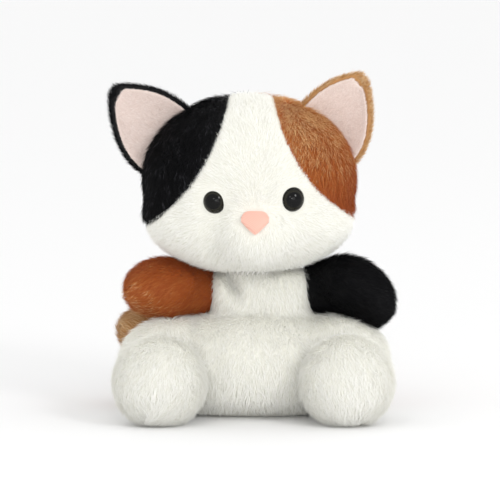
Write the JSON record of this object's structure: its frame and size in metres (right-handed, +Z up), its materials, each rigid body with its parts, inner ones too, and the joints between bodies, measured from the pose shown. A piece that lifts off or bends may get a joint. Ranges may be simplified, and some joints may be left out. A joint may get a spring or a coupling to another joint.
{
  "type": "plush cat",
  "caption": "Seated calico plush cat with round head, upright ears and stubby stuffed limbs; it sits on a flat weighted base and its sewn joints bend and spring back.",
  "frame": {"origin": "centre of the flat patch under the seat, on the surface that the cat sits on", "axes": "+Z up, the cat faces -Y, and its right side is at -X"},
  "size_m": [0.1012, 0.0898, 0.1229],
  "materials": {
    "white_pile": "matte",
    "black_pile": "matte",
    "orange_pile": "matte",
    "pink_pile": "matte",
    "pink_thread": "satin",
    "white_thread": "matte",
    "stuffing": "matte",
    "pellets": "matte",
    "pouch_cloth": "matte",
    "label_cloth": "satin",
    "eye_plastic": "gloss",
    "washer_plastic": "matte"
  },
  "bodies": {
    "torso": {"tummy_panel": "white_pile", "back_panel": "orange_pile", "base_panel": "white_pile", "body_stuffing": "stuffing", "pellet_pouch": "pouch_cloth", "pouch_pellets": "pellets", "care_label": "label_cloth"},
    "neck_ring": {"neck_stitching": "white_thread"},
    "head": {"white_face_panel": "white_pile", "black_face_patch": "black_pile", "orange_face_patch": "orange_pile", "black_head_back": "black_pile", "orange_head_back": "orange_pile", "head_stuffing": "stuffing", "right_eye": "eye_plastic", "left_eye": "eye_plastic", "right_eye_washer": "washer_plastic", "left_eye_washer": "washer_plastic", "nose_embroidery": "pink_thread"},
    "right_ear": {"right_ear_back": "black_pile", "right_ear_lining": "pink_pile"},
    "left_ear": {"left_ear_back": "orange_pile", "left_ear_lining": "pink_pile"},
    "right_arm": {"right_arm_skin": "orange_pile", "right_arm_stuffing": "stuffing"},
    "left_arm": {"left_arm_skin": "black_pile", "left_arm_stuffing": "stuffing"},
    "right_leg": {"right_leg_skin": "white_pile", "right_leg_stuffing": "pellets"},
    "left_leg": {"left_leg_skin": "white_pile", "left_leg_stuffing": "pellets"},
    "tail": {"tail_skin": "orange_pile", "tail_stuffing": "stuffing"}
  },
  "joints": [
    {"name": "neck_turn", "type": "hinge", "parent": "torso", "child": "neck_ring", "pos_m": [0, 0.002, 0.055], "axis": [0, 0, 1], "range_deg": [-20, 20], "stiffness_Nm_per_rad": 0.05},
    {"name": "neck_nod", "type": "hinge", "parent": "neck_ring", "child": "head", "pos_m": [0, 0.002, 0.055], "axis": [1, 0, 0], "range_deg": [-5, 5], "stiffness_Nm_per_rad": 0.2},
    {"name": "right_ear_fold", "type": "hinge", "parent": "head", "child": "right_ear", "pos_m": [-0.0324, 0.001, 0.099], "axis": [0.4938, 0, 0.8696], "range_deg": [-15, 15], "stiffness_Nm_per_rad": 0.004},
    {"name": "left_ear_fold", "type": "hinge", "parent": "head", "child": "left_ear", "pos_m": [0.0278, 0.001, 0.1012], "axis": [-0.6775, 0, 0.7355], "range_deg": [-15, 15], "stiffness_Nm_per_rad": 0.004},
    {"name": "right_arm_swing", "type": "hinge", "parent": "torso", "child": "right_arm", "pos_m": [-0.021, 0, 0.0448], "axis": [0, 0, 1], "range_deg": [-10, 20], "stiffness_Nm_per_rad": 0.02},
    {"name": "left_arm_swing", "type": "hinge", "parent": "torso", "child": "left_arm", "pos_m": [0.025, 0, 0.0455], "axis": [0, 0, -1], "range_deg": [-10, 20], "stiffness_Nm_per_rad": 0.02},
    {"name": "right_leg_lift", "type": "hinge", "parent": "torso", "child": "right_leg", "pos_m": [-0.031, -0.013, 0.016], "axis": [-1, 0, 0], "range_deg": [-8, 25], "stiffness_Nm_per_rad": 0.1},
    {"name": "left_leg_lift", "type": "hinge", "parent": "torso", "child": "left_leg", "pos_m": [0.032, -0.013, 0.016], "axis": [-1, 0, 0], "range_deg": [-8, 25], "stiffness_Nm_per_rad": 0.1},
    {"name": "tail_swing", "type": "hinge", "parent": "torso", "child": "tail", "pos_m": [-0.0121, 0.0318, 0.014], "axis": [0, 0, -1], "range_deg": [0, 40], "stiffness_Nm_per_rad": 0.01}
  ]
}
